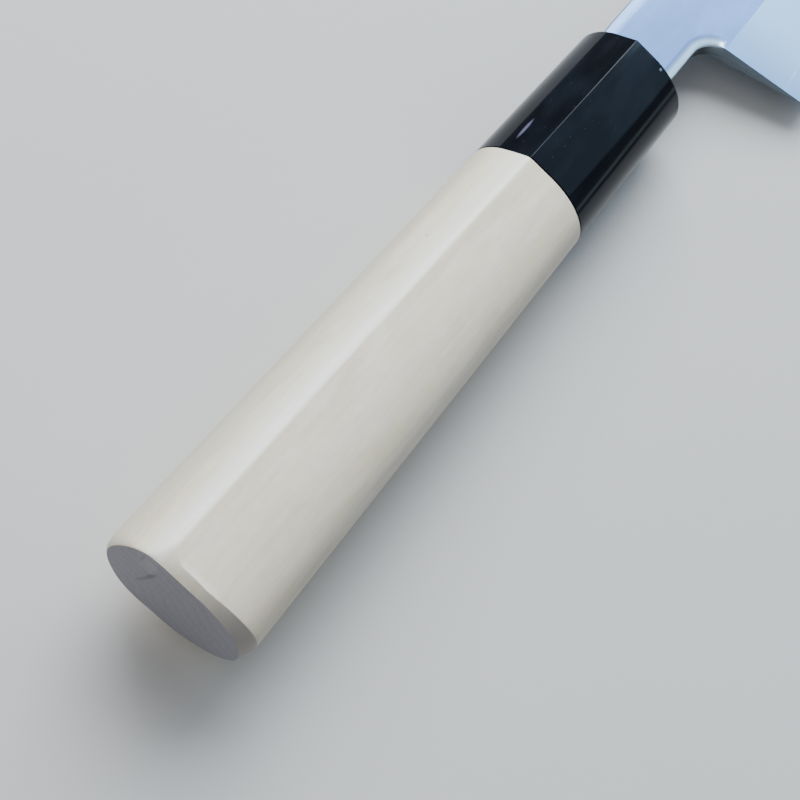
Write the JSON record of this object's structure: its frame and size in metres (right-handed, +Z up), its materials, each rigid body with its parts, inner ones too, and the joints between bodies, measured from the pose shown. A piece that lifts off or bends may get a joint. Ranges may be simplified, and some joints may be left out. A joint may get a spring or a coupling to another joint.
{
  "type": "mentori knife",
  "caption": "Small single-bevel kitchen knife for paring vegetables: straight edge, spine curving down to the tip, finger notch behind the heel, wooden handle with a ridge and a black ferrule.",
  "frame": {"origin": "middle of the knife's outline seen from above, at the surface it lies on", "axes": "+X from the butt towards the tip, seen from above, +Y towards the spine, +Z up, out of the bevelled right side. The knife lies on its left side as it comes to rest, on the rim of the ferrule's mouth and on the tip: its own long axis leans down 2.64 degrees towards the tip, and its edge side is rolled down by 1.75 degrees."},
  "size_m": [0.2452, 0.038, 0.0236],
  "materials": {
    "magnolia_wood": "sanded bare magnolia, fine straight grain, darker end grain at the butt",
    "black_resin": "polished black",
    "sealing_resin": "dark brown sealing resin",
    "soft_iron": "satin, ground lengthwise",
    "hard_steel": "fine satin, brighter than the iron"
  },
  "bodies": {
    "root": {"grip": "magnolia_wood", "ferrule": "black_resin", "tang_seal": "sealing_resin", "blade_body": "soft_iron", "edge_steel": "hard_steel"}
  },
  "joints": []
}
